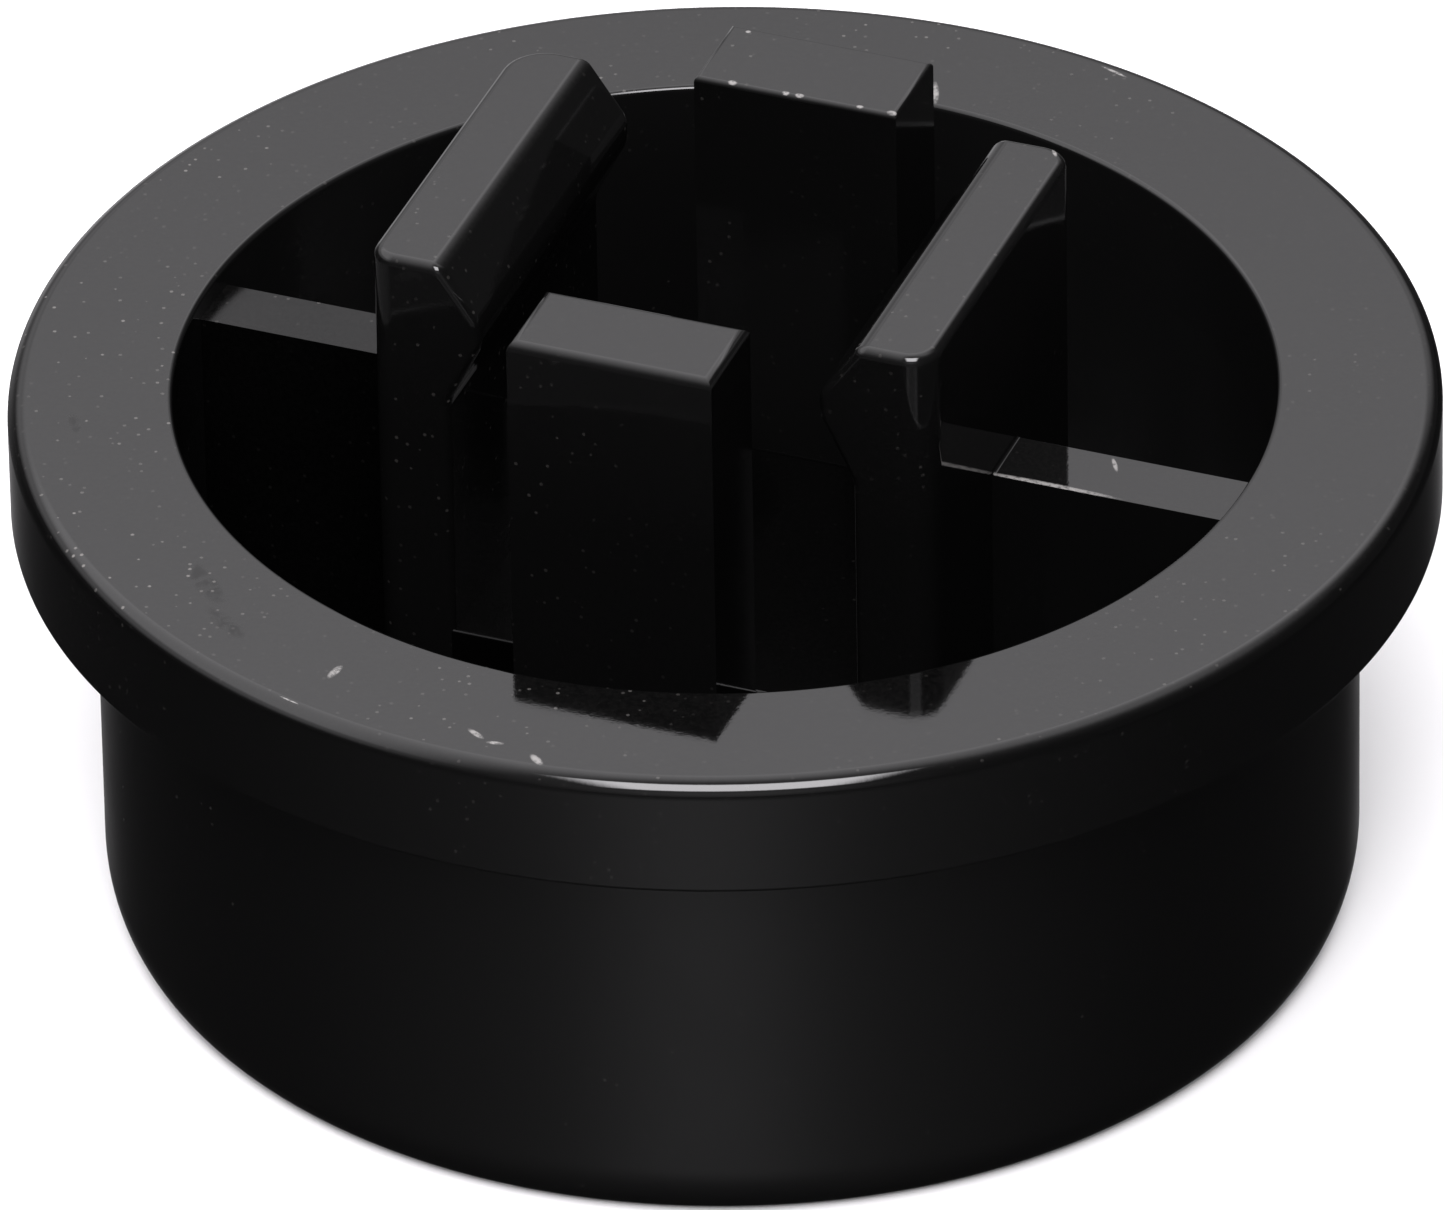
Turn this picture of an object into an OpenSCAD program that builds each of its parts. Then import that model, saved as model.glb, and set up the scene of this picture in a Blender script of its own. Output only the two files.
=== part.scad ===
// Round key cap for a 12 mm tactile switch, lying face down with its
// underside up.  The whole cap is one plastic moulding; each feature that
// does a job of its own is a separate solid, and the solids meet face to face.
// +Z is up.  The origin is the centre of the outer button face.
// X runs along the two stiffening ribs, Y through the two guide posts.

/* [Shell] */
// Outer diameter of the retaining flange
flange_d = 13.0; // [12.6:0.1:14]
// Thickness of the retaining flange
flange_t = 1.15; // [0.8:0.05:1.5]
// Radius that rounds the flange's top outer edge
flange_round = 0.12; // [0.05:0.01:0.2]
// Outer diameter of the barrel that passes through the panel
barrel_d = 11.5; // [11:0.1:12]
// Inner diameter of the well
well_d = 10.0; // [9.4:0.1:10.2]
// Height from the button face to the flange's top
shell_h = 5.25; // [5:0.05:6]
// Thickness of the button face
face_t = 0.9; // [0.6:0.05:1.2]
// Radius that rounds the button face's edge
face_round = 0.4; // [0.2:0.05:0.6]

/* [Plunger pocket] */
// Height that the fingers and posts stand above the flange
finger_rise = 1.95; // [1.5:0.05:2.5]
// Half the pocket's width between the two snap fingers, below the hooks
pocket_half_x = 1.94; // [1.91:0.01:2.0]
// Half the pocket's width between the two guide posts
pocket_half_y = 1.86; // [1.8:0.01:2.0]
// Height of the plunger seat above the outer button face
seat_h = 3.28; // [2.5:0.02:3.6]

/* [Snap fingers] */
// Half the distance between the fingers' outer faces
finger_half_x = 2.7; // [2.5:0.05:3]
// Length of each finger along Y
finger_len = 3.76; // [3:0.02:3.8]
// Radius of each finger's two outer corners
finger_corner = 0.28; // [0.1:0.02:0.35]
// Half the mouth's width at the fingers' tops
mouth_half_x = 2.0; // [1.98:0.01:2.1]
// Half the gap between the two hook noses
nose_half_x = 1.62; // [1.6:0.01:1.8]
// Drop from a finger's top to the top of its hook nose
lead_in_drop = 0.55; // [0.4:0.05:0.7]
// Height of the flat on a hook's nose
nose_flat = 0.25; // [0.1:0.05:0.3]
// Height of the sloping underside of a hook
return_h = 0.65; // [0.4:0.05:0.8]

/* [Guide posts] */
// Width of each post along X
post_w = 1.96; // [1.6:0.02:2.4]
// Thickness of each post along Y
post_t = 0.97; // [0.7:0.01:1.1]

/* [Ribs] */
// Thickness of each stiffening rib
rib_t = 0.66; // [0.5:0.02:0.9]
// Drop from the flange's top to the ribs' tops
rib_drop = 0.2; // [0.1:0.05:0.5]

/* [Hidden] */
$fn = 128;

flange_r = flange_d / 2;
barrel_r = barrel_d / 2;
well_r = well_d / 2;
flange_low = shell_h - flange_t;
finger_top = shell_h + finger_rise;
rib_top = shell_h - rib_drop;
nose_top = finger_top - lead_in_drop;
nose_low = nose_top - nose_flat;
hook_low = nose_low - return_h;
// height at which the lead-in slope crosses the pocket's wall
lead_in_cross = finger_top - lead_in_drop * (mouth_half_x - pocket_half_x) / (mouth_half_x - nose_half_x);

shell_black = [0.05, 0.05, 0.055];
finger_black = [0.09, 0.09, 0.1];
rib_black = [0.07, 0.07, 0.075];

// points along a quarter circle about c, from angle a0 to a1
function arc_points(c, r, a0, a1, steps = 8) =
    [for (i = [0:steps]) let (a = a0 + (a1 - a0) * i / steps) [c[0] + r * cos(a), c[1] + r * sin(a)]];

// a straight-sided ring between two heights
module ring(outer_r, inner_r, low, high) {
    translate([0, 0, low])
        difference() {
            cylinder(r = outer_r, h = high - low);
            translate([0, 0, -1]) cylinder(r = inner_r, h = high - low + 2);
        }
}

// disc that the user presses, with its outer edge rounded
module button_face() {
    color(shell_black)
        rotate_extrude()
            polygon(concat([[0, 0]],
                           arc_points([barrel_r - face_round, face_round], face_round, -90, 0),
                           [[barrel_r, face_t], [0, face_t]]));
}

// wall of the barrel, from the button face up to the flange
module barrel_wall() {
    color(shell_black) ring(barrel_r, well_r, face_t, flange_low);
}

// flange that keeps the cap behind the panel
module flange_ring() {
    color(shell_black)
        rotate_extrude()
            polygon(concat([[well_r, flange_low], [flange_r, flange_low]],
                           arc_points([flange_r - flange_round, shell_h - flange_round], flange_round, 0, 90),
                           [[well_r, shell_h]]));
}

// raised block that the plunger's end presses on
module plunger_seat() {
    color(shell_black)
        translate([-pocket_half_x, -pocket_half_y, face_t])
            cube([2 * pocket_half_x, 2 * pocket_half_y, seat_h - face_t]);
}

// outline of the right finger seen from above, with its outer corners rounded
module finger_outline(inner_x) {
    half = finger_len / 2;
    corner_x = finger_half_x - finger_corner;
    corner_y = half - finger_corner;
    polygon(concat([[inner_x, -half]],
                   arc_points([corner_x, -corner_y], finger_corner, -90, 0),
                   arc_points([corner_x, corner_y], finger_corner, 0, 90),
                   [[inner_x, half]]));
}

// fixed part of the right finger, stiffened by its rib
module finger_root() {
    translate([0, 0, face_t]) linear_extrude(rib_top - face_t) finger_outline(pocket_half_x);
}

// springing part of the right finger, above the rib
module snap_arm() {
    difference() {
        translate([0, 0, rib_top]) linear_extrude(finger_top - rib_top) finger_outline(pocket_half_x);
        // lead-in cut along the top inner edge
        translate([0, finger_len, 0])
            rotate([90, 0, 0])
                linear_extrude(2 * finger_len)
                    polygon([[pocket_half_x, lead_in_cross], [mouth_half_x, finger_top],
                             [mouth_half_x, finger_top + 1], [pocket_half_x - 1, finger_top + 1],
                             [pocket_half_x - 1, lead_in_cross]]);
    }
}

// hook on the right finger's inner side
module snap_hook() {
    translate([0, finger_len / 2, 0])
        rotate([90, 0, 0])
            linear_extrude(finger_len)
                polygon([[pocket_half_x, hook_low], [pocket_half_x, lead_in_cross],
                         [nose_half_x, nose_top], [nose_half_x, nose_low]]);
}

// the right rib: a web from the finger's outer face to the well's wall
module rib() {
    intersection() {
        translate([finger_half_x, -rib_t / 2, face_t]) cube([well_r, rib_t, rib_top - face_t]);
        cylinder(r = well_r, h = rib_top);
    }
}

// the back post: a plain guide for the plunger's side
module guide_post() {
    translate([-post_w / 2, pocket_half_y, face_t]) cube([post_w, post_t, finger_top - face_t]);
}

module left_rib() { color(rib_black) mirror([1, 0, 0]) rib(); }
module right_rib() { color(rib_black) rib(); }
module left_finger_root() { color(finger_black) mirror([1, 0, 0]) finger_root(); }
module right_finger_root() { color(finger_black) finger_root(); }
module left_snap_arm() { color(finger_black) mirror([1, 0, 0]) snap_arm(); }
module right_snap_arm() { color(finger_black) snap_arm(); }
module left_snap_hook() { color(finger_black) mirror([1, 0, 0]) snap_hook(); }
module right_snap_hook() { color(finger_black) snap_hook(); }
module front_guide_post() { color(finger_black) mirror([0, 1, 0]) guide_post(); }
module back_guide_post() { color(finger_black) guide_post(); }

button_face();
barrel_wall();
flange_ring();
plunger_seat();
left_rib();
right_rib();
left_finger_root();
right_finger_root();
left_snap_arm();
right_snap_arm();
left_snap_hook();
right_snap_hook();
front_guide_post();
back_guide_post();
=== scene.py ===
"""Looks of a round black key cap that lies face down, underside up.

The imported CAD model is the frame.  Every visible CAD node is stood for by a finer mesh
of the same size with moulded edges.  Lengths below are in millimetres unless a name
says otherwise, and meshes are scaled to metres when they are finished.
"""

import math

import bmesh
import bpy
from mathutils import Matrix, Vector


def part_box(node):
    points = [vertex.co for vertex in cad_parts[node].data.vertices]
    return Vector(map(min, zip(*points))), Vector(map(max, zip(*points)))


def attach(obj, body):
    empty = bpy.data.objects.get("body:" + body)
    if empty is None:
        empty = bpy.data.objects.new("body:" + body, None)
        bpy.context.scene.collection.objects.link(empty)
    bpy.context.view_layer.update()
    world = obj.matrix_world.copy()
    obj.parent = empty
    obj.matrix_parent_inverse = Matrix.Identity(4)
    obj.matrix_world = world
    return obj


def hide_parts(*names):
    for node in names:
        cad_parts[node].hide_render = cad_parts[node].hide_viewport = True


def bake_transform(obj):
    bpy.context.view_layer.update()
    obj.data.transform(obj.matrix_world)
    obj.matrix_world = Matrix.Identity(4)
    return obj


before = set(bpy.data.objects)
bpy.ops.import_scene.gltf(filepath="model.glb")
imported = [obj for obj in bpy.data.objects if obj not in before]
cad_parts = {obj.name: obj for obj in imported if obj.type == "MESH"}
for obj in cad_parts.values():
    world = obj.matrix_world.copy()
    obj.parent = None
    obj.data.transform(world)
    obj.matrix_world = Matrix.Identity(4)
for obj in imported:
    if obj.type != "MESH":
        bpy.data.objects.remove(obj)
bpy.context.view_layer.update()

MM = 0.001
NEAR = 0.001  # two heights or places closer than this are the same
LATHE_STEPS = 384
EDGE_R = 0.09  # radius of the moulded edges of the fingers and the front post
BACK_POST_EDGE_R = 0.05
WEB_EDGE_R = 0.03  # of the ribs and the seat
EDGE_STEPS = 4
CUT_REACH = 1e-5  # vertices this close to a cut are taken as on it
EMBED = 0.03  # how far a piece runs into its neighbour where they are one moulding


# ---------------------------------------------------------------- sizes from the frame


def node_points(node):
    """The CAD node's vertices, in millimetres."""
    return [v.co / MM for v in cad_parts[node].data.vertices]


def node_box(node):
    """The CAD node's lowest and highest corners, in millimetres."""
    low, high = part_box(node)
    return low / MM, high / MM


flange_low, flange_high = node_box("flange_ring")
barrel_high = node_box("barrel_wall")[1]
face_high = node_box("button_face")[1]
arm_low, arm_high = node_box("right_snap_arm")
hook_low = node_box("right_snap_hook")[0]
rib_low, rib_high = node_box("right_rib")
seat_low, seat_high = node_box("plunger_seat")

FLANGE_R = flange_high.x
BARREL_R = barrel_high.x
WELL_R = min(math.hypot(p.x, p.y) for p in node_points("flange_ring"))
FLANGE_TOP = flange_high.z
FLANGE_UNDER = flange_low.z
WELL_FLOOR = face_high.z
RIB_TOP = rib_high.z
FINGER_TOP = arm_high.z
NOSE = [p.z for p in node_points("right_snap_hook") if p.x < hook_low.x + NEAR]
MOUTH_X = min(p.x for p in node_points("right_snap_arm") if p.z > FINGER_TOP - NEAR)


# ---------------------------------------------------------------- camera

CAMERA_AZIMUTH = 21.42
CAMERA_ELEVATION = 33.18
CAMERA_ROLL = 1.0
CAMERA_DISTANCE = 200.0
CAMERA_LENS = 550.4  # for the 36 mm sensor
AIM_LEFT = 0.02  # how far the aim is to the left of the flange's centre
AIM_DOWN = 2.015  # how far it is below it, across the view


def direction(azimuth, elevation):
    """Unit vector from the object towards that azimuth and elevation, in degrees."""
    a, e = math.radians(azimuth), math.radians(elevation)
    return Vector((math.sin(a) * math.cos(e), -math.cos(a) * math.cos(e), math.sin(e)))


def make_camera():
    back = direction(CAMERA_AZIMUTH, CAMERA_ELEVATION)
    right = Vector((-back.y, back.x, 0)).normalized()
    up = back.cross(right)
    roll = math.radians(CAMERA_ROLL)
    right, up = (
        right * math.cos(roll) - up * math.sin(roll),
        right * math.sin(roll) + up * math.cos(roll),
    )
    target = Vector((0, 0, FLANGE_TOP))
    place = target + back * CAMERA_DISTANCE
    aim = target - right * AIM_LEFT - up * AIM_DOWN
    back = (place - aim).normalized()
    right = up.cross(back).normalized()
    up = back.cross(right)
    data = bpy.data.cameras.new("camera")
    data.sensor_width = 36.0
    data.lens = CAMERA_LENS
    data.clip_start, data.clip_end = 0.01, 10.0
    camera = bpy.data.objects.new("camera", data)
    turn = Matrix((right, up, back)).transposed().to_4x4()
    camera.matrix_world = Matrix.Translation(place * MM) @ turn
    bpy.context.scene.collection.objects.link(camera)
    bpy.context.scene.camera = camera


make_camera()


# ---------------------------------------------------------------- materials


class Nodes:
    """Short calls for building a node tree."""

    def __init__(self, tree):
        self.tree = tree
        tree.nodes.clear()

    def add(self, kind, **settings):
        node = self.tree.nodes.new(kind)
        for name, value in settings.items():
            setattr(node, name, value)
        return node

    def link(self, out, into):
        self.tree.links.new(out, into)

    def feed(self, socket, value):
        if isinstance(value, bpy.types.NodeSocket):
            self.link(value, socket)
        else:
            socket.default_value = value

    def math(self, operation, a, b=0.0, c=0.0):
        node = self.add("ShaderNodeMath", operation=operation)
        for socket, value in zip(node.inputs, (a, b, c)):
            self.feed(socket, value)
        return node.outputs[0]

    def vector_math(self, operation, a, b):
        node = self.add("ShaderNodeVectorMath", operation=operation)
        self.feed(node.inputs[0], a)
        self.feed(node.inputs[1], b)
        return node.outputs["Value" if operation == "DOT_PRODUCT" else "Vector"]

    def split(self, vector):
        """The vector's X, Y and Z outputs."""
        node = self.add("ShaderNodeSeparateXYZ")
        self.link(vector, node.inputs[0])
        return node.outputs

    def ramp(self, value, low, high, out_low=0.0, out_high=1.0):
        """Smooth step of value from low..high to out_low..out_high."""
        node = self.add("ShaderNodeMapRange", interpolation_type="SMOOTHSTEP")
        node.inputs["From Min"].default_value = low
        node.inputs["From Max"].default_value = high
        node.inputs["To Min"].default_value = out_low
        node.inputs["To Max"].default_value = out_high
        self.feed(node.inputs["Value"], value)
        return node.outputs["Result"]

    def noise(self, vector, scale, detail=2.0, roughness=0.5, distortion=0.0):
        node = self.add("ShaderNodeTexNoise", noise_dimensions="3D")
        node.inputs["Scale"].default_value = scale
        node.inputs["Detail"].default_value = detail
        node.inputs["Roughness"].default_value = roughness
        node.inputs["Distortion"].default_value = distortion
        self.feed(node.inputs["Vector"], vector)
        return node.outputs["Fac"]

    def mix_colour(self, factor, a, b):
        node = self.add("ShaderNodeMix", data_type="RGBA")
        self.feed(node.inputs["Factor"], factor)
        self.feed(node.inputs["A"], a)
        self.feed(node.inputs["B"], b)
        return node.outputs["Result"]


def grey(level, warm=0.0):
    """Colour of that level, with red raised and blue lowered by the share warm."""
    return (level * (1 + warm), level, level * (1 - warm), 1.0)


CLOUD_SCALE = 900.0  # of the moulding's broad cloudiness, per metre
TOOTH_SCALE = 22000.0  # of the fine tooth that breaks up reflections
DUST_PATCH_SCALE = 350.0
SMEAR_SCALE = 5000.0
# two values of a noise or of x, and the mask's strength at each
DUST_PATCHES = (0.42, 0.62, 0.15, 1.0)
DUST_LEFT = (-5.0 * MM, 3.0 * MM, 1.0, 0.3)
SMEAR_BREAKS = (0.3, 0.6, 0.2, 1.0)
NICK_AND_HIGHLIGHT_BREAKS = (0.35, 0.55, 0.35, 1.0)
MIDDLE = (0.3, 0.7)  # the range that most of a noise's values lie in
UPWARD = (0.5, 0.9)  # Z of a normal, from where it starts to look up to where it does
WELL_EDGE = (1.002, 1.01)  # shares of the well's radius between which its painted light ends
MARK_FADE = (0.1, 1.0)  # squared shares of a mark's radii between which it fades
WARM = 0.03  # how far the plastic's greys lean to red
DUST_WARM = 0.05
DUST_CELL = 0.12  # spacing of the dust specks
DUST_SIZE = 0.022  # their radius
CHOICE_WIDTH = 0.02  # how gradually a cell's random number lets it hold a speck


def speck_mask(n, place, share):
    """Scattered round specks.  share is the part of the cells that hold one."""
    cells = n.add("ShaderNodeTexVoronoi", voronoi_dimensions="3D", feature="F1")
    cells.inputs["Scale"].default_value = 1.0 / (DUST_CELL * MM)
    n.feed(cells.inputs["Vector"], place)
    shade = n.add("ShaderNodeSeparateColor")
    n.link(cells.outputs["Color"], shade.inputs[0])
    chosen = n.ramp(shade.outputs["Red"], 1.0 - share - CHOICE_WIDTH, 1.0 - share)
    reach = DUST_SIZE / DUST_CELL
    spot = n.ramp(cells.outputs["Distance"], reach * 0.5, reach, 1.0, 0.0)
    strength = n.ramp(shade.outputs["Green"], 0.0, 1.0, 0.25, 1.0)
    return n.math("MULTIPLY", n.math("MULTIPLY", spot, chosen), strength)


def dust_mask(n, place, upward, share, cling):
    """Specks in patches, more of them to the left, of which cling stay on upright faces."""
    patches = n.ramp(n.noise(place, DUST_PATCH_SCALE, detail=1.0), *DUST_PATCHES)
    left = n.ramp(n.split(place)["X"], *DUST_LEFT)
    settled = n.math("MULTIPLY_ADD", upward, 1.0 - cling, cling)
    speck = n.math("MULTIPLY", speck_mask(n, place, share), patches)
    return n.math("MULTIPLY", speck, n.math("MULTIPLY", left, settled))


def well_mask(n, place):
    """One inside the well's radius and nought outside it."""
    x, y = n.split(place)["X"], n.split(place)["Y"]
    squared = n.math("ADD", n.math("MULTIPLY", x, x), n.math("MULTIPLY", y, y))
    inside, outside = (share * WELL_R * MM for share in WELL_EDGE)
    return n.ramp(squared, inside ** 2, outside ** 2, 1.0, 0.0)


def mark_mask(n, place, angle, radius, length, width, turn):
    """A soft-edged oval, seen from above.  angle and turn are in degrees about Z, sizes in
    millimetres; the oval's long side points along turn."""
    a, t = math.radians(angle), math.radians(turn)
    centre = Vector((math.cos(a), math.sin(a), 0)) * radius * MM
    offset = n.vector_math("SUBTRACT", place, tuple(centre))
    along = Vector((math.cos(t), math.sin(t), 0)) * (2 / (length * MM))
    across = Vector((-math.sin(t), math.cos(t), 0)) * (2 / (width * MM))
    u = n.vector_math("DOT_PRODUCT", offset, tuple(along))
    v = n.vector_math("DOT_PRODUCT", offset, tuple(across))
    reach = n.math("ADD", n.math("MULTIPLY", u, u), n.math("MULTIPLY", v, v))
    return n.ramp(reach, *MARK_FADE, 1.0, 0.0)


def add_marks(n, place, marks):
    """The marks' masks joined by their maximum."""
    total = 0.0
    for mark in marks:
        total = n.math("MAXIMUM", total, mark_mask(n, place, *mark))
    return total


def smear_mask(n, place, smudges):
    """The smudges, broken up as a smear is."""
    smear = n.noise(place, SMEAR_SCALE, detail=4.0, roughness=0.7, distortion=1.0)
    return n.math("MULTIPLY", add_marks(n, place, smudges), n.ramp(smear, *SMEAR_BREAKS))


def nick_and_highlight_mask(n, place, upward, tooth, nicks_and_highlights):
    """The nicks and painted highlights on upward faces, broken up by the surface's tooth."""
    pale = n.math("MULTIPLY", add_marks(n, place, nicks_and_highlights), n.ramp(tooth, *NICK_AND_HIGHLIGHT_BREAKS))
    return n.math("MULTIPLY", pale, upward)


def upward_mask(n):
    """One on faces that look up, nought on steep and upright ones."""
    normal = n.add("ShaderNodeNewGeometry").outputs["True Normal"]
    return n.ramp(n.split(normal)["Z"], *UPWARD)


# colour of the pale nicks and of the painted highlights among them
NICK_AND_HIGHLIGHT_TONE = 0.26
SIDE_GRAIN = 0.15  # share of the grain that shows on upright faces; tops get all of it, so it also paints tops lighter than sides
# how much each raises the roughness
TOOTH_DULL = 0.02
SPECK_DULL = 0.3
SMEAR_DULL = 0.4
NICK_AND_HIGHLIGHT_DULL = 0.5
BUMP_STRENGTH = 0.1
BUMP_HEIGHT_M = 0.000002


def finish_material(material, n, colour, rough, gloss, relief):
    """The shader and its output, with a slight bump from relief."""
    bump = n.add("ShaderNodeBump")
    bump.inputs["Strength"].default_value = BUMP_STRENGTH
    bump.inputs["Distance"].default_value = BUMP_HEIGHT_M
    n.feed(bump.inputs["Height"], relief)
    shader = n.add("ShaderNodeBsdfPrincipled")
    shader.inputs["IOR"].default_value = 1.5
    shader.inputs["Specular IOR Level"].default_value = gloss
    n.feed(shader.inputs["Base Color"], colour)
    n.feed(shader.inputs["Roughness"], rough)
    n.link(bump.outputs["Normal"], shader.inputs["Normal"])
    n.link(shader.outputs["BSDF"], n.add("ShaderNodeOutputMaterial").inputs["Surface"])
    return material


def plastic(
    name, black, grain=0.0004, rough=(0.05, 0.1), gloss=0.5,
    dust=0.0, dust_tone=0.02, cling=0.1, nicks_and_highlights=(), smudges=(), well_painted_light=0.0,
):
    """Gloss black moulded plastic.  grain is how much its blackness varies, fully on faces that
    look up and less on upright ones, so it also paints tops lighter than sides; dust the share
    of the surface's cells that hold a pale speck and cling how much of it stays on upright
    faces.  nicks_and_highlights are pale scratches, burrs and painted highlights, and smudges
    dull ones.  well_painted_light is painted light that lightens the inside of the well."""
    material = bpy.data.materials.new(name)
    material.use_nodes = True
    n = Nodes(material.node_tree)
    place = n.add("ShaderNodeTexCoord").outputs["Object"]
    cloud = n.noise(place, CLOUD_SCALE, detail=3.0)
    tooth = n.noise(place, TOOTH_SCALE, detail=2.0, roughness=0.6)
    upward = upward_mask(n)
    dull = n.math("MULTIPLY_ADD", tooth, TOOTH_DULL, n.ramp(cloud, *MIDDLE, *rough))
    # the grain's lightening is full on faces that look up and weaker on upright ones: partly
    # random tone, partly painted light that makes tops lighter than sides
    facing = n.math("MULTIPLY_ADD", upward, 1.0 - SIDE_GRAIN, SIDE_GRAIN)
    grain_and_top_light = n.math("MULTIPLY", n.ramp(tooth, *MIDDLE), facing)
    colour = n.mix_colour(grain_and_top_light, grey(black), grey(black + grain, WARM))
    # painted light: lighter colour inside the well
    if well_painted_light:
        colour = n.mix_colour(well_mask(n, place), colour, grey(well_painted_light))
    if dust:
        speck = dust_mask(n, place, upward, dust, cling)
        colour = n.mix_colour(speck, colour, grey(dust_tone, DUST_WARM))
        dull = n.math("MULTIPLY_ADD", speck, SPECK_DULL, dull)
    if smudges:
        dull = n.math("MULTIPLY_ADD", smear_mask(n, place, smudges), SMEAR_DULL, dull)
    if nicks_and_highlights:
        # pale nicks, and painted highlights
        pale = nick_and_highlight_mask(n, place, upward, tooth, nicks_and_highlights)
        colour = n.mix_colour(pale, colour, grey(NICK_AND_HIGHLIGHT_TONE, WARM))
        dull = n.math("MULTIPLY_ADD", pale, NICK_AND_HIGHLIGHT_DULL, dull)
    return finish_material(material, n, colour, dull, gloss, n.math("ADD", tooth, cloud))


# pale nicks, and as the last one a painted highlight at the well's rim beside the back post: angle
# about Z, radius, length, width, turn about Z
FLANGE_NICKS_AND_HIGHLIGHT = [
    (-106, 5.77, 0.26, 0.09, 80),
    (-90.5, 6.04, 0.24, 0.07, -30),
    (-88.5, 6.12, 0.18, 0.06, 10),
    (-84.5, 6.27, 0.22, 0.09, -40),
    (76, 6.3, 0.34, 0.04, -20),
    (-106.5, 6.36, 0.24, 0.02, -17),
    # a painted highlight: the bright sliver at the well's rim beside the back post
    (89, 5.22, 0.42, 0.08, 111),
]
# dull smears, given the same way
FLANGE_SMUDGES = [
    (-125.0, 5.62, 1.1, 0.3, -44),
    (-118.5, 5.86, 0.8, 0.26, -36),
    (-154.0, 5.9, 0.5, 0.16, -60),
]
# nicks of the back post's top, where burrs shine, and a painted highlight on the right finger's
# far outer corner
FINGER_NICKS_AND_HIGHLIGHT = [
    (108, 2.0, 0.1, 0.07, 0),
    (93, 1.9, 0.08, 0.06, 0),
    (89, 1.9, 0.1, 0.06, 0),
    (72, 2.0, 0.08, 0.05, 0),
    (64, 2.12, 0.12, 0.07, 0),
    (106, 2.86, 0.06, 0.05, 0),
    # a painted highlight on the right finger's far outer corner
    (35, 3.1, 0.18, 0.05, -60),
]
# of the right rib: a burr along its front edge and a scratch across it
RIB_NICKS = [
    (-5.5, 3.25, 1.5, 0.09, 0),
    (3.1, 3.69, 0.26, 0.05, -60),
]
# painted light: the inside of the well is made lighter in colour
WELL_PAINTED_LIGHT = 0.0045
# The parts are all one moulding, but their blacks differ: the fingers, posts and right rib are set
# lighter and the seat and left rib darker than the flange and barrel, painted light and shade that
# gives each part its brightness.
FLANGE_PLASTIC = plastic(
    "flange_plastic", 0.0013, grain=0.0014, rough=(0.02, 0.05), dust=0.9, dust_tone=0.14,
    nicks_and_highlights=FLANGE_NICKS_AND_HIGHLIGHT, smudges=FLANGE_SMUDGES, well_painted_light=WELL_PAINTED_LIGHT,
)
BARREL_PLASTIC = plastic(
    "barrel_plastic", 0.0016, rough=(0.14, 0.2), dust=0.2, dust_tone=0.05, cling=0.4,
    well_painted_light=WELL_PAINTED_LIGHT,
)
SEAT_PLASTIC = plastic("seat_plastic", 0.0008, rough=(0.08, 0.14), gloss=0.25, dust=0.3)
# The left rib is a darker copy of the right rib's plastic: painted shade.
LEFT_RIB_PLASTIC = plastic(
    "left_rib_plastic", 0.0008, grain=0.003, rough=(0.12, 0.2), gloss=0.26,
    dust=0.6, dust_tone=0.1,
)
RIGHT_RIB_PLASTIC = plastic(
    "right_rib_plastic", 0.0024, grain=0.0014, rough=(0.02, 0.05), gloss=0.46,
    dust=0.8, dust_tone=0.12, nicks_and_highlights=RIB_NICKS,
)
FINGER_PLASTIC = plastic(
    "finger_plastic", 0.0026, grain=0.0016, rough=(0.03, 0.06), dust=0.6, dust_tone=0.1, cling=0.5,
    nicks_and_highlights=FINGER_NICKS_AND_HIGHLIGHT,
)


# ---------------------------------------------------------------- mesh helpers


SHARP_ANGLE = 40.0  # degrees; sharper edges stay sharp in shading


def finish_piece(bm, name, material, body, replaced):
    """Makes the object from a mesh in millimetres, with flat faces kept flat in shading."""
    bmesh.ops.recalc_face_normals(bm, faces=bm.faces)
    mesh = bpy.data.meshes.new(name)
    bm.to_mesh(mesh)
    bm.free()
    mesh.polygons.foreach_set("use_smooth", [True] * len(mesh.polygons))
    mesh.set_sharp_from_angle(angle=math.radians(SHARP_ANGLE))
    draft = bpy.data.objects.new(name + "_mm", mesh)
    bpy.context.scene.collection.objects.link(draft)
    weighted = draft.modifiers.new("flat", "WEIGHTED_NORMAL")
    weighted.keep_sharp = True
    weighted.weight = 100
    depsgraph = bpy.context.evaluated_depsgraph_get()
    final = bpy.data.meshes.new_from_object(draft.evaluated_get(depsgraph))
    bpy.data.objects.remove(draft)
    bpy.data.meshes.remove(mesh)
    final.name = name
    final.transform(Matrix.Scale(MM, 4))
    piece = bpy.data.objects.new(name, final)
    final.materials.clear()
    final.materials.append(material)
    bpy.context.scene.collection.objects.link(piece)
    if body:
        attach(piece, body)
    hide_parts(*replaced)
    return piece


def arc(centre, radius, start, end, steps):
    """Points (r, z) along an arc, angles in degrees."""
    found = []
    for i in range(steps + 1):
        angle = math.radians(start + (end - start) * i / steps)
        found.append((centre[0] + radius * math.cos(angle), centre[1] + radius * math.sin(angle)))
    return found


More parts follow.
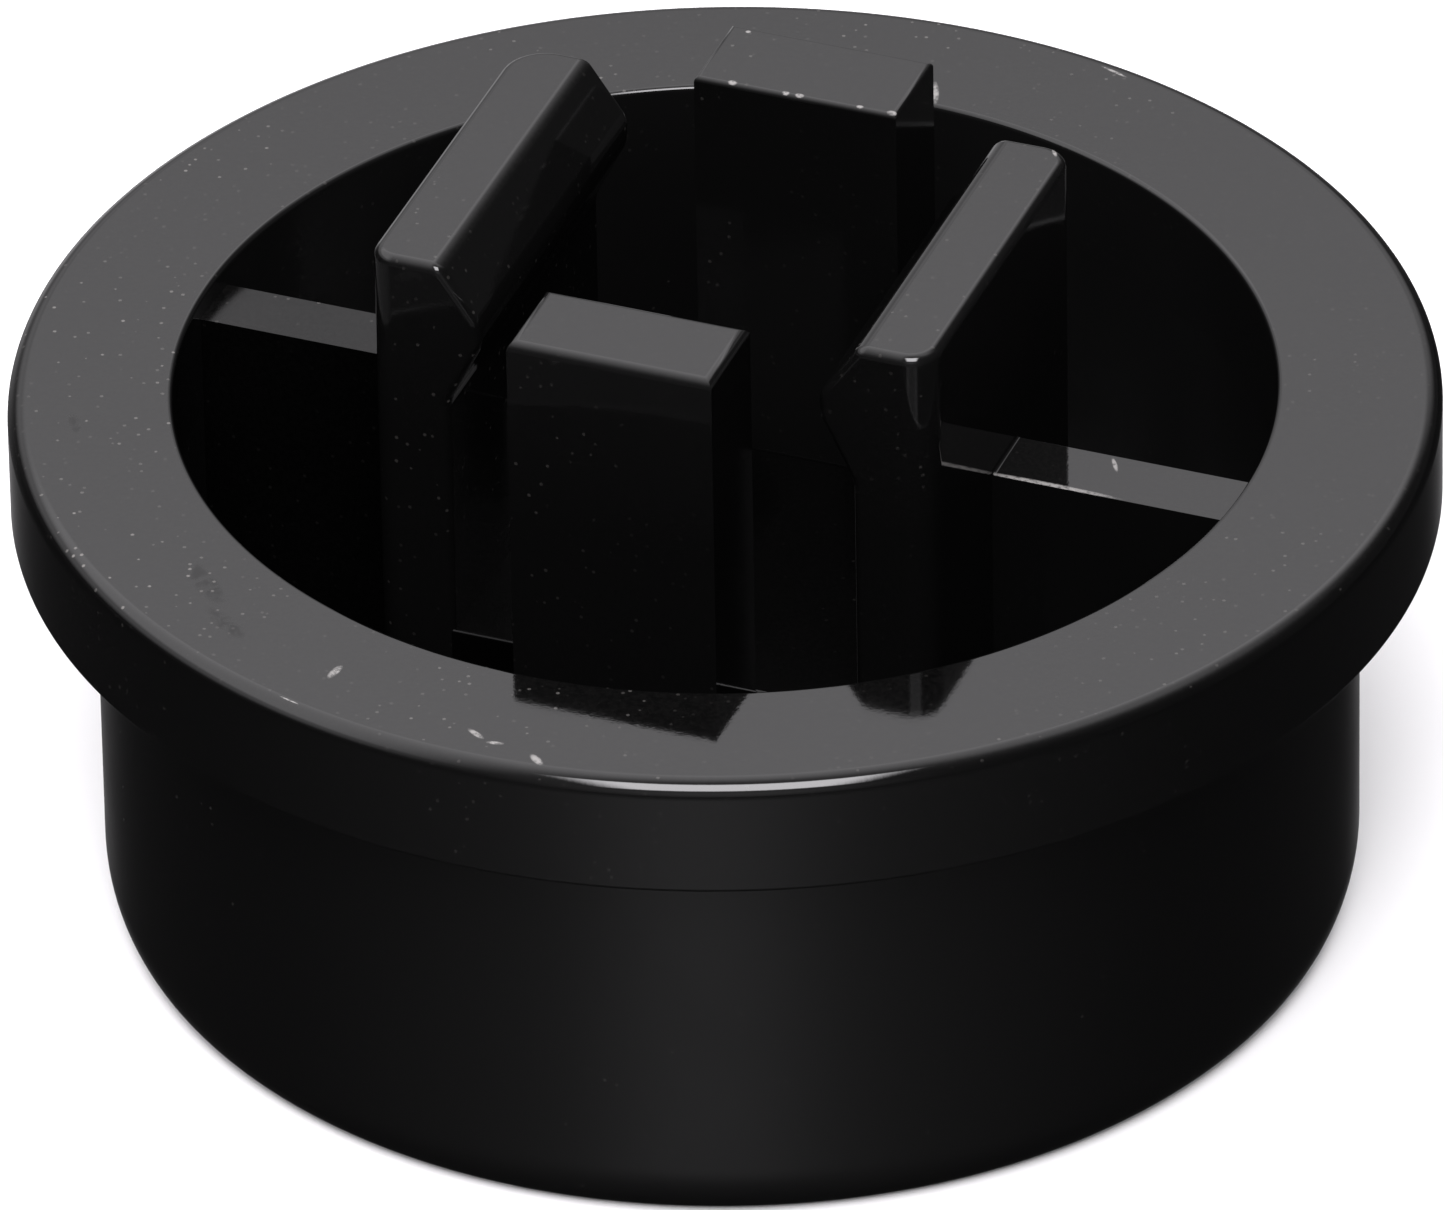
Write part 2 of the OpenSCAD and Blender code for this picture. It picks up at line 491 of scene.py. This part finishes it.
def lathe(profile, closed):
    """Turns (r, z) points about Z.  A closed profile makes a ring, an open one starts and
    ends on the axis."""
    bm = bmesh.new()
    rings = []
    for r, z in profile:
        if r == 0:
            rings.append([bm.verts.new((0, 0, z))])
            continue
        turn = [2 * math.pi * i / LATHE_STEPS for i in range(LATHE_STEPS)]
        rings.append([bm.verts.new((r * math.cos(t), r * math.sin(t), z)) for t in turn])
    following = rings[1:] + rings[:1] if closed else rings[1:]
    for a, b in zip(rings, following):
        for i in range(LATHE_STEPS):
            k = (i + 1) % LATHE_STEPS
            corners = [a[i % len(a)], a[k % len(a)], b[k % len(b)], b[i % len(b)]]
            bm.faces.new(list(dict.fromkeys(corners)))
    return bm


def prism(outline, y_low, y_high):
    """Solid with an (x, z) outline, straight along Y."""
    bm = bmesh.new()
    near = [bm.verts.new((x, y_low, z)) for x, z in outline]
    far = [bm.verts.new((x, y_high, z)) for x, z in outline]
    bm.faces.new(near)
    bm.faces.new(far[::-1])
    for i in range(len(outline)):
        k = (i + 1) % len(outline)
        bm.faces.new((near[k], near[i], far[i], far[k]))
    bmesh.ops.recalc_face_normals(bm, faces=bm.faces)
    return bm


def round_edges(bm, edges, radius, steps=EDGE_STEPS):
    """Bevels the edges into arcs of that radius."""
    bmesh.ops.bevel(
        bm, geom=list(edges), offset=radius, offset_type="OFFSET", segments=steps,
        profile=0.5, affect="EDGES", clamp_overlap=True,
    )


def sharp_edges(bm, least):
    """Edges that turn by more than least degrees."""
    turn = math.radians(least)
    return [e for e in bm.edges if e.is_manifold and e.calc_face_angle(0.0) > turn]


def edges_above(edges, height):
    return [e for e in edges if all(v.co.z > height for v in e.verts)]


def level_edges(edges):
    return [e for e in edges if abs(e.verts[0].co.z - e.verts[1].co.z) < NEAR]


def cut_levels(bm, levels):
    """Adds loops across the mesh at those heights."""
    for z in levels:
        everything = list(bm.verts) + list(bm.edges) + list(bm.faces)
        bmesh.ops.bisect_plane(
            bm, geom=everything, plane_co=(0, 0, z), plane_no=(0, 0, 1), dist=CUT_REACH
        )


# ---------------------------------------------------------------- shell

FLANGE_ROUND = 0.17  # radius of the flange's top outer edge
RIM_ROUND = 0.05  # of the well's rim and the flange's lower edge
FACE_ROUND = 0.33  # width of the face's rounded edge
FACE_RISE = 0.6  # its height up the barrel


def shell_piece(outline, closed, name, material, node):
    bm = lathe(outline, closed)
    return finish_piece(bm, name, material, "cap_shell", [node])


def make_flange():
    outline = [(WELL_R, FLANGE_UNDER), (BARREL_R, FLANGE_UNDER)]
    outline += arc((FLANGE_R - RIM_ROUND, FLANGE_UNDER + RIM_ROUND), RIM_ROUND, -90, 0, 4)
    outline += arc((FLANGE_R - FLANGE_ROUND, FLANGE_TOP - FLANGE_ROUND), FLANGE_ROUND, 0, 90, 10)
    outline += arc((WELL_R + RIM_ROUND, FLANGE_TOP - RIM_ROUND), RIM_ROUND, 90, 180, 6)
    return shell_piece(outline, True, "flange", FLANGE_PLASTIC, "flange_ring")


def make_barrel():
    outline = [(WELL_R, WELL_FLOOR), (BARREL_R, WELL_FLOOR)]
    outline += [(BARREL_R, FLANGE_UNDER), (WELL_R, FLANGE_UNDER)]
    return shell_piece(outline, True, "barrel", BARREL_PLASTIC, "barrel_wall")


def make_face():
    outline = [(0, 0), (BARREL_R - FACE_ROUND, 0)]
    for r, z in arc((0, 0), 1.0, -90, 0, 16)[1:]:
        outline.append((BARREL_R - FACE_ROUND + FACE_ROUND * r, FACE_RISE * (1 + z)))
    outline += [(BARREL_R, WELL_FLOOR), (0, WELL_FLOOR)]
    return shell_piece(outline, False, "face", BARREL_PLASTIC, "button_face")


make_flange()
make_barrel()
make_face()


# ---------------------------------------------------------------- inside

RIB_FILLET = 0.03
WEB_TURN = 25.0  # degrees; the least turn of an edge that is rounded
FINGER_TURN = 18.0
CORNER_STEPS = 8
LONG_EDGE = 1.0  # the ribs' long top edges are longer than this
BEND_END = RIB_TOP + 1.3
BEND_LOOPS = 14


def make_rib(side, name, material, lean):
    """A web from a finger's outer face to the well's wall.  side is -1 or 1, and lean how far
    its top falls from front to back."""
    inner, outer = arm_high.x, WELL_R + EMBED
    outline = [(inner - EMBED, WELL_FLOOR), (outer, WELL_FLOOR), (outer, RIB_TOP)]
    outline += arc((inner + RIB_FILLET, RIB_TOP + RIB_FILLET), RIB_FILLET, 270, 180, 4)
    outline += [(inner - EMBED, RIB_TOP + RIB_FILLET)]
    bm = prism([(side * x, z) for x, z in outline], rib_low.y, rib_high.y)
    for vert in bm.verts:
        if vert.co.z > RIB_TOP - NEAR and vert.co.y > 0:
            vert.co.z -= lean
    top = edges_above(sharp_edges(bm, WEB_TURN), RIB_TOP - lean - NEAR)
    round_edges(bm, [e for e in level_edges(top) if e.calc_length() > LONG_EDGE], WEB_EDGE_R)
    return finish_piece(bm, name + "_web", material, "cap_shell", [name])


def make_seat():
    low, high = seat_low, seat_high
    left, right = low.x - EMBED, high.x + EMBED
    outline = [(left, low.z), (right, low.z), (right, high.z), (left, high.z)]
    bm = prism(outline, low.y, high.y)
    top = edges_above(sharp_edges(bm, WEB_TURN), high.z - NEAR)
    front_back = [e for e in top if e.calc_length() > high.y - low.y + NEAR]
    round_edges(bm, front_back, WEB_EDGE_R)
    name = "seat_block"
    return finish_piece(bm, name, SEAT_PLASTIC, "cap_shell", ["plunger_seat"])


def standing_edges(bm, least):
    """Sharp edges of a piece that stands in the well, without those buried in its floor."""
    return [e for e in sharp_edges(bm, least) if any(v.co.z > WELL_FLOOR for v in e.verts)]


def make_post(node, name, edge_r):
    low, high = node_box(node)
    foot = low.z - EMBED
    outline = [(low.x, foot), (high.x, foot), (high.x, high.z), (low.x, high.z)]
    bm = prism(outline, low.y, high.y)
    round_edges(bm, level_edges(standing_edges(bm, WEB_TURN)), edge_r)
    return finish_piece(bm, name, FINGER_PLASTIC, "cap_shell", [node])


def outer_corner(bm, side, y):
    """The finger's upright corner on its outer face at that end."""
    x = side * arm_high.x

    def at_corner(vert):
        return math.hypot(vert.co.x - x, vert.co.y - y) < NEAR

    return [e for e in bm.edges if all(at_corner(v) for v in e.verts)]


def make_finger(side, body, name, nodes, near_corner, far_corner):
    """A hooked finger in one piece from the well's floor to its tip.  Close loops cross it above
    the rib.
    """
    foot = WELL_FLOOR - EMBED
    outline = [
        (arm_low.x, foot),
        (arm_low.x, hook_low.z),
        (hook_low.x, min(NOSE)),
        (hook_low.x, max(NOSE)),
        (MOUTH_X, FINGER_TOP),
        (arm_high.x, FINGER_TOP),
        (arm_high.x, foot),
    ]
    bm = prism([(side * x, z) for x, z in outline], arm_low.y, arm_high.y)
    round_edges(bm, outer_corner(bm, side, arm_low.y), near_corner, CORNER_STEPS)
    round_edges(bm, outer_corner(bm, side, arm_high.y), far_corner, CORNER_STEPS)
    round_edges(bm, standing_edges(bm, FINGER_TURN), EDGE_R)
    bend = BEND_END - RIB_TOP
    cut_levels(bm, [RIB_TOP + bend * i / BEND_LOOPS for i in range(BEND_LOOPS + 1)])
    piece = finish_piece(bm, name, FINGER_PLASTIC, None, nodes)
    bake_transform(piece)
    return piece


LEFT_RIB_LEAN = 0.03
LEFT_CORNERS = (0.24, 0.42)  # radii of a finger's near and far outer corners
RIGHT_CORNERS = (0.28, 0.28)

make_seat()
make_rib(-1, "left_rib", LEFT_RIB_PLASTIC, LEFT_RIB_LEAN)
make_rib(1, "right_rib", RIGHT_RIB_PLASTIC, 0.0)
make_post("front_guide_post", "front_post", EDGE_R)
make_post("back_guide_post", "back_post", BACK_POST_EDGE_R)
for side, hand, corners in ((-1, "left", LEFT_CORNERS), (1, "right", RIGHT_CORNERS)):
    solids = [hand + "_finger_root", hand + "_snap_arm", hand + "_snap_hook"]
    make_finger(side, hand + "_snap_finger", hand + "_finger", solids, *corners)


# ---------------------------------------------------------------- floor and light

FLOOR_SIZE_M = 3.0
FLOOR_GRAIN_SCALE = 800.0
FLOOR_TONES = (0.88, 0.9)


def make_floor():
    bm = bmesh.new()
    bmesh.ops.create_grid(bm, x_segments=1, y_segments=1, size=FLOOR_SIZE_M / 2)
    mesh = bpy.data.meshes.new("floor")
    bm.to_mesh(mesh)
    bm.free()
    floor = bpy.data.objects.new("floor", mesh)
    bpy.context.scene.collection.objects.link(floor)
    material = bpy.data.materials.new("pale_floor")
    material.use_nodes = True
    n = Nodes(material.node_tree)
    place = n.add("ShaderNodeTexCoord").outputs["Object"]
    grain = n.noise(place, FLOOR_GRAIN_SCALE, detail=2.0)
    dark, light = FLOOR_TONES
    shader = n.add("ShaderNodeBsdfPrincipled")
    shader.inputs["Roughness"].default_value = 0.9
    shader.inputs["Specular IOR Level"].default_value = 0.0
    n.feed(shader.inputs["Base Color"], n.mix_colour(grain, grey(dark), grey(light)))
    n.link(shader.outputs["BSDF"], n.add("ShaderNodeOutputMaterial").inputs["Surface"])
    mesh.materials.append(material)
    floor.visible_glossy = False


SKY_BASE = 0.05
OVERHEAD = 0.3  # added straight above, fading towards the horizon
OVERHEAD_SHARPNESS = 4.0
PANEL = 1.06  # a wide bright wall of light to the left and behind, brighter above
PANEL_AZIMUTH = 250
PANEL_EDGE = (-0.1, 0.5)  # cosines from its azimuth between which it fades in
PANEL_RISE = (0.48, 0.64, 0.8, 1.8)  # two heights, and its share of PANEL at each
PANEL_FOOT = (0.15, 0.45)  # heights between which it fades away downward
# azimuth, elevation, sharpness and strength of weaker lights that show above the horizon
FILLS = [(-35, 48, 6, 0.24), (150, 66, 20, 1.2), (213, -2, 20, 0.65), (20, 18, 14, 0.5)]
GROUND = 0.02
# the same for the lit parts of the table, as the barrel and the edges mirror them
GROUND_FILLS = [(16, -33, 3, 0.14), (16, -33, 25, 0.22), (213, -2, 20, 0.9), (201, -31, 40, 0.18)]
HORIZON = (-0.03, 0.01)  # heights between which the table gives way to the sky
# two heights, and the share of the table's light at each: it is darker below the cap
GROUND_FOOT = (-1.0, -0.6, 0.6, 1.0)
LIGHT_COLOUR = (1.0, 0.98, 1.01, 1.0)
BOX_AZIMUTH = CAMERA_AZIMUTH  # a soft box above the camera
BOX_ELEVATION = 54.5
BOX_LIGHT = 12.0
BOX_FACING = (0.1, 0.3)  # cosines from its centre between which it is let in
BOX_WIDE = (0.2, 0.37)  # tangents of the half angles where it starts and stops fading
BOX_HIGH = (0.28, 0.42)


def toward(n, way, vector):
    """Cosine between each direction and the vector."""
    return n.vector_math("DOT_PRODUCT", way, tuple(vector))


def lobe(n, way, azimuth, elevation, sharpness, strength):
    """Light that is strongest from one direction."""
    facing = n.math("MAXIMUM", toward(n, way, direction(azimuth, elevation)), 0.0)
    return n.math("MULTIPLY", n.math("POWER", facing, sharpness), strength)


def soft_box(n, way):
    """A bright rectangle with soft edges."""
    centre = direction(BOX_AZIMUTH, BOX_ELEVATION)
    side = Vector((-centre.y, centre.x, 0)).normalized()
    facing = n.math("MAXIMUM", toward(n, way, centre), 0.01)
    lit = n.ramp(facing, *BOX_FACING, 0.0, BOX_LIGHT)
    for axis, (full, none) in ((side, BOX_WIDE), (centre.cross(side), BOX_HIGH)):
        offset = n.math("ABSOLUTE", n.math("DIVIDE", toward(n, way, axis), facing))
        lit = n.math("MULTIPLY", lit, n.ramp(offset, full, none, 1.0, 0.0))
    return lit


def sky_light(n, way, height):
    panel = n.ramp(toward(n, way, direction(PANEL_AZIMUTH, 0)), *PANEL_EDGE, 0.0, PANEL)
    panel = n.math("MULTIPLY", panel, n.ramp(height, *PANEL_RISE))
    panel = n.math("MULTIPLY", panel, n.ramp(height, *PANEL_FOOT))
    overhead = n.math("POWER", n.math("MAXIMUM", height, 0.0), OVERHEAD_SHARPNESS)
    sky = n.math("ADD", n.math("MULTIPLY_ADD", overhead, OVERHEAD, panel), SKY_BASE)
    for fill in FILLS:
        sky = n.math("ADD", sky, lobe(n, way, *fill))
    return n.math("ADD", sky, soft_box(n, way))


def ground_light(n, way, height):
    ground = GROUND
    for fill in GROUND_FILLS:
        ground = n.math("ADD", lobe(n, way, *fill), ground)
    return n.math("MULTIPLY", ground, n.ramp(height, *GROUND_FOOT))


def make_world():
    world = bpy.data.worlds.new("studio")
    bpy.context.scene.world = world
    world.use_nodes = True
    n = Nodes(world.node_tree)
    way = n.add("ShaderNodeTexCoord").outputs["Generated"]
    height = n.split(way)["Z"]
    above = n.ramp(height, *HORIZON)
    below = n.math("SUBTRACT", 1.0, above)
    sky = n.math("MULTIPLY", sky_light(n, way, height), above)
    light = n.math("MULTIPLY_ADD", ground_light(n, way, height), below, sky)
    background = n.add("ShaderNodeBackground")
    background.inputs["Color"].default_value = LIGHT_COLOUR
    n.feed(background.inputs["Strength"], light)
    n.link(background.outputs["Background"], n.add("ShaderNodeOutputWorld").inputs["Surface"])


make_floor()
make_world()
bpy.context.scene.view_settings.view_transform = "Standard"
